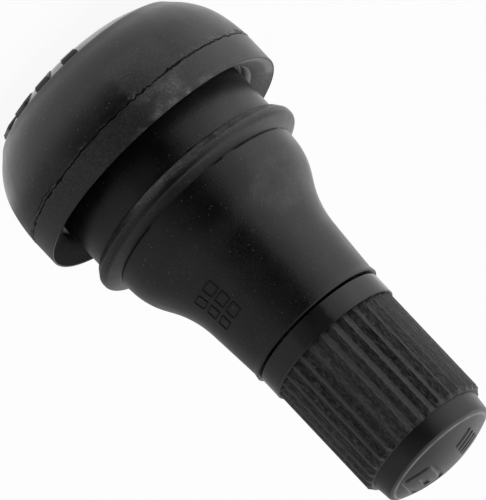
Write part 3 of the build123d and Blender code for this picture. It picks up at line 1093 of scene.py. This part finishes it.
def cap_point(radius, height, angle):
    """Where a point of the cap lies: the dome has plain recessed shapes, a little waviness and a painted
    highlight ring as its mark.
    """
    x = radius * cos(angle)
    y = radius * sin(angle)
    if radius < DOME_EDGE_RADIUS - 0.1 and height > DOME_EDGE:
        sink = 0.12 * dome_recess(x, y)
        sink += 0.006 + 0.006 * grain(x, y, height, 1.2, 41.0)
        # Painted highlight ring near the dome's edge.
        dome_highlight = hump(radius, DOME_HIGHLIGHT_RING, 0.12) * (0.45 + 0.3 * grain(x, y, 0, 0.8, 61.0))
        return radius, height - sink, dome_highlight
    if radius > RIB_ROOT - 0.3 and height > CAP_MOUTH:
        wave = 0.010 * grain(x, y, height, 1.5, 43.0)
        return min(radius + wave, BAND_RADIUS), height, 0.0
    return radius, height, 0.0


def cap_columns(radius, height):
    """How many points a ring of the cap has at a place."""
    if height > DOME_EDGE - 0.5:
        return DOME_COLUMNS if radius > 0.6 else DOME_COLUMNS // 4
    return COLUMNS if radius >= RIB_ROOT - 0.3 else DOME_COLUMNS // 4


def cap_shell(material):
    """Cap without its ribs: mouth band, wall, stepped end with a low dome, and the bore."""
    outline = divided(cap_outline(), lambda *place: CAP_ROW)
    mesh = lathe("cap_shell", outline, cap_columns, cap_point)
    return finished("cap_shell", mesh, "cap", "cap_plastic", material, "dust_cap")


def cap_ribs(tree, material):
    """V-shaped grip ribs side by side round the cap, with a bevel at their upper end."""
    low = RIB_ROOT - 0.10
    # Marks run from 1 at the foot, for ragged edges, to 0.1 at the crest, where the nylon paints a
    # highlight.
    flank = [(0.0, 1.0), (0.25, 0.7), (0.5, 0.3), (0.75, 0.2), (1.0, 0.1)]
    side_points = []
    for share, mark in flank:
        radius = RIB_FOOT_REACH + (RIB_RADIUS - RIB_FOOT_REACH) * share
        side_points.append((radius, RIB_FOOT + (RIB_CREST - RIB_FOOT) * share, mark))
    section = [(low, -RIB_FOOT, 0.0)] + [(r, -side, mark) for r, side, mark in side_points]
    section += side_points[::-1] + [(low, RIB_FOOT, 0.0)]
    foot = BAND_TOP - 0.05
    rows = [(foot + (RIB_END - foot) * row / RIB_ROWS, RIB_RADIUS) for row in range(RIB_ROWS + 1)]
    rows.append((END_BASE - 0.01, RIB_RADIUS - (END_BASE - RIB_END) * 0.9))
    sections = [[(min(r, limit), side, height) for r, side, mark in section] for height, limit in rows]
    rib = stacked("rib", sections, [mark for r, side, mark in section])
    face_outward(rib)
    mesh = grown("cap_ribs", tree, {
        "Count": RIB_COUNT,
        "First Angle": radians(RIB_FIRST),
        "Step": tau / RIB_COUNT,
        "Roughness": 0.09 * MM,
        "Grain Scale": 1 / (0.25 * MM),
        "Material": material,
    }, rib)
    return finished("cap_ribs", mesh, "cap", "cap_plastic", material, sharp=25)


def cap_thread(tree, material):
    """Thread inside the cap, half a pitch off the stem's, so that the two mesh."""
    start = RIDGE_START + 3.5 * THREAD_PITCH
    end = STEM_TIP - NOSE_CHAMFER - 0.15
    root = CAP_BORE + RIDGE_SINK
    depth = root - CAP_RIDGE_CREST
    mesh = wound_ridge(
        "cap_thread", tree, material, start, end, root, CAP_RIDGE_FOOT, CAP_RIDGE_TIP, depth
    )
    return finished("cap_thread", mesh, "cap", "cap_plastic", material)


def body_strokes(tree, material):
    """Plain boxes in thin raised lines on the cone of the rubber, in two short rows, coloured near black
    as painted shade.
    """
    middles_and_widths = ((-52, 0.95), (-37, 0.80))
    box_heights = (17.9, 18.9, 19.9)
    half_height = 0.36
    line_radius = 0.045
    # Painted shade: the lines are coloured near black, and made matt.
    stain_and_shade = -1.6
    steps = 24
    cone = [point for point in body_outline() if point[1] > BEND_HEIGHT]
    points = []
    edges = []
    for middle, width in middles_and_widths:
        for box_height in box_heights:
            start = len(points)
            for step in range(steps):
                turn = tau * step / steps
                square = max(abs(cos(turn)), abs(sin(turn)))
                height = box_height + half_height * cos(turn) / square
                radius = next(
                    low[0] + (high[0] - low[0]) * (height - low[1]) / (high[1] - low[1])
                    for low, high in zip(cone, cone[1:])
                    if low[1] <= height <= high[1]
                )
                angle = radians(middle) + width * 0.5 * sin(turn) / square / radius
                points.append((
                    radius * cos(angle) * MM,
                    radius * sin(angle) * MM,
                    height * MM,
                ))
                edges.append((start + step, start + (step + 1) % steps))
    lines = bpy.data.meshes.new("lines")
    lines.from_pydata(points, edges, [])
    mesh = grown("body_strokes", tree, {"Width": line_radius * MM, "Material": material}, lines)
    marked(mesh, [stain_and_shade] * len(mesh.vertices))
    return finished("body_strokes", mesh, "valve", "rubber", material)


def dress_nodes(material, *names):
    """Give small parts that keep their solids' meshes a real finish."""
    for name in names:
        mesh = bpy.data.objects[name].data
        mesh.materials.clear()
        mesh.materials.append(material)


# Studio: pale floor, even daylight tent with a dark screen in front, and soft lamps

TONES_ROUND = (
    (-180, 0.62), (-145, 0.34), (-120, 0.30), (-74, 0.36), (-43, 0.34), (-36, 0.17), (-18, 0.10),
    (-2, 0.01), (20, 0.01), (26, 0.50), (47, 0.80), (74, 1.30), (120, 1.00), (160, 1.10), (180, 0.62),
)
TONE_LIMIT = 1.5
LEFT_TONE = 0.42
RIGHT_TONE = 1.00
NEAR_TONE = 1.05
FILL_TONE = 0.20


def blend_value(tree, share, first, second):
    """Mix two plain values."""
    return add(tree, "ShaderNodeMix", {0: share, 2: first, 3: second}, data_type="FLOAT").outputs[0]


def studio_tone(tree, where, level):
    """How bright the studio looks towards a place: dim left, dark in front and bright right."""
    flipped = add(tree, "ShaderNodeVectorMath", {0: where, "Scale": -1.0}, operation="SCALE")
    parts = add(tree, "ShaderNodeSeparateXYZ", {"Vector": flipped}).outputs
    compass = calc(tree, "ARCTAN2", parts["X"], parts["Y"])
    ramp = add(tree, "ShaderNodeValToRGB", {0: ranged(tree, compass, -pi, pi)})
    stops = ramp.color_ramp.elements
    for index, (angle, tone) in enumerate(TONES_ROUND):
        place = (angle + 180) / 360
        if index > 1:
            stops.new(place)
        stops[index].position = place
        stops[index].color = (tone / TONE_LIMIT,) * 3 + (1,)
    walls = calc(tree, "MULTIPLY", ramp, TONE_LIMIT)
    overhead = ranged(tree, calc(tree, "SINE", compass), -0.4, 0.9, LEFT_TONE, RIGHT_TONE, True)
    return blend_value(tree, level, overhead, walls)


def studio_world():
    """White tent for the camera, soft fill for matt surfaces and the studio for gloss."""
    world = bpy.data.worlds.new("daylight_tent")
    world.use_nodes = True
    world.cycles.sampling_method = "NONE"
    tree = world.node_tree
    tree.nodes.clear()
    towards = add(tree, "ShaderNodeTexCoord").outputs["Generated"]
    low = ranged(tree, part_of(tree, towards, "Z"), 0.75, 0.95, 1.0, 0.0, True)
    tone = studio_tone(tree, towards, low)
    rays = add(tree, "ShaderNodeLightPath").outputs
    seen = calc(tree, "MAXIMUM", rays["Is Camera Ray"], rays["Is Transmission Ray"])
    strength = blend_value(tree, rays["Is Glossy Ray"], FILL_TONE, tone)
    strength = blend_value(tree, seen, strength, 1.0)
    background = add(tree, "ShaderNodeBackground", {
        "Color": linear("#ffffff"),
        "Strength": strength,
    })
    add(tree, "ShaderNodeOutputWorld", {"Surface": background})
    bpy.context.scene.world = world


def floor_material():
    """Pale card: white for the camera under a light shadow, and the studio's tone in gloss."""
    material = bpy.data.materials.new("pale_card")
    material.use_nodes = True
    material.cycles.emission_sampling = "NONE"
    tree = material.node_tree
    tree.nodes.clear()
    place = add(tree, "ShaderNodeTexCoord").outputs["Object"]
    flat = add(tree, "ShaderNodeVectorMath", {0: place}, operation="LENGTH")
    near = ranged(tree, flat.outputs["Value"], 13 * MM, 20 * MM, 1.0, 0.0, True)
    tone = blend_value(tree, near, studio_tone(tree, place, 1.0), NEAR_TONE)
    rays = add(tree, "ShaderNodeLightPath").outputs
    card = add(tree, "ShaderNodeBsdfDiffuse", {"Color": linear("#eeeeee")})
    white = add(tree, "ShaderNodeEmission")
    studio = add(tree, "ShaderNodeEmission", {"Strength": tone})
    share = calc(tree, "MULTIPLY", rays["Is Camera Ray"], 0.93)
    camera_part = add(tree, "ShaderNodeMixShader", {
        0: share, 1: card, 2: white,
    })
    gloss = calc(tree, "MAXIMUM", rays["Is Glossy Ray"], rays["Is Transmission Ray"])
    mix = add(tree, "ShaderNodeMixShader", {
        0: gloss, 1: camera_part, 2: studio,
    })
    add(tree, "ShaderNodeOutputMaterial", {"Surface": mix})
    return material


def studio_floor():
    """Round sheet of pale card that the valve stands on."""
    work = bmesh.new()
    bmesh.ops.create_circle(work, cap_ends=True, segments=96, radius=0.5)
    bmesh.ops.translate(work, verts=work.verts, vec=(0, 0, -0.02 * MM))
    mesh = bpy.data.meshes.new("floor_card")
    work.to_mesh(mesh)
    work.free()
    mesh.materials.append(floor_material())
    placed("floor_card", mesh)


def soft_lamp(name, size, power, place):
    """Square soft lamp that points at the valve and doesn't show in gloss."""
    data = bpy.data.lights.new(name, "AREA")
    data.size = size
    data.energy = power
    lamp = placed(name, data)
    lamp.location = place
    aim = TARGET - Vector(place)
    lamp.rotation_euler = aim.to_track_quat("-Z", "Y").to_euler()
    lamp.visible_camera = False
    lamp.visible_glossy = False


def photo_camera():
    """Camera at the photograph's angle: 13.8 degrees above the floor and turned on its side."""
    tilt = radians(TILT)
    roll = radians(ROLL)
    level = Vector((1, 0, 0))
    upward = Vector((0, sin(tilt), cos(tilt)))
    back = Vector((0, -cos(tilt), sin(tilt)))
    right = cos(roll) * level + sin(roll) * upward
    up = cos(roll) * upward - sin(roll) * level
    data = bpy.data.cameras.new("photo_camera")
    data.sensor_width = SENSOR
    data.lens = SENSOR * DISTANCE / FRAME_HEIGHT
    camera = placed("photo_camera", data)
    turned = Matrix((right, up, back)).transposed().to_4x4()
    camera.matrix_world = Matrix.Translation(TARGET + back * DISTANCE) @ turned
    bpy.context.scene.camera = camera


def build():
    """Make every piece, dress the nodes that stay and set up the studio."""
    rubber = moulded_rubber()
    nylon = moulded_nylon()
    stem_brass = turned_metal("turned_stem_brass", "#dcc083", "#cbab6c", 0.12, 0.24)
    core_brass = turned_metal("bright_core_brass", "#e2ca90", "#d2b678", 0.10, 0.18)
    steel = turned_metal("drawn_stainless_wire", "#b9b8b5", "#a3a29f", 0.15, 0.22)
    seal_rubber = soft_seal("pressed_nitrile_rubber", "#2c2c2c", "#1d1d1d", 0.45)
    ptfe = soft_seal("sintered_red_ptfe", "#b8402e", "#9c3022", 0.30)
    ring = ring_tree()
    outward = helix_tree("outward_ridge")
    inward = helix_tree("inward_ridge")
    wire = helix_tree("wire")
    rubber_body(rubber)
    head_pads(ring, rubber)
    body_strokes(stroke_tree(), rubber)
    stem_body(stem_brass)
    stem_thread(outward, stem_brass)
    core_spring(wire, steel)
    cap_shell(nylon)
    cap_ribs(ring, nylon)
    cap_thread(inward, nylon)
    dress_nodes(core_brass, "core_plug", "core_barrel", "core_pin", "pin_collar", "seat_cup")
    dress_nodes(seal_rubber, "cap_seal", "seat_gasket")
    dress_nodes(ptfe, "barrel_gasket")
    studio_world()
    studio_floor()
    soft_lamp("top_lamp", 0.5, 2.0, (0.05, 0.16, 0.5))
    soft_lamp("right_lamp", 0.3, 0.3, (-0.45, 0.05, 0.25))
    soft_lamp("left_lamp", 0.3, 0.12, (0.45, 0.05, 0.25))
    photo_camera()
    bpy.context.scene.view_settings.view_transform = "Standard"


build()
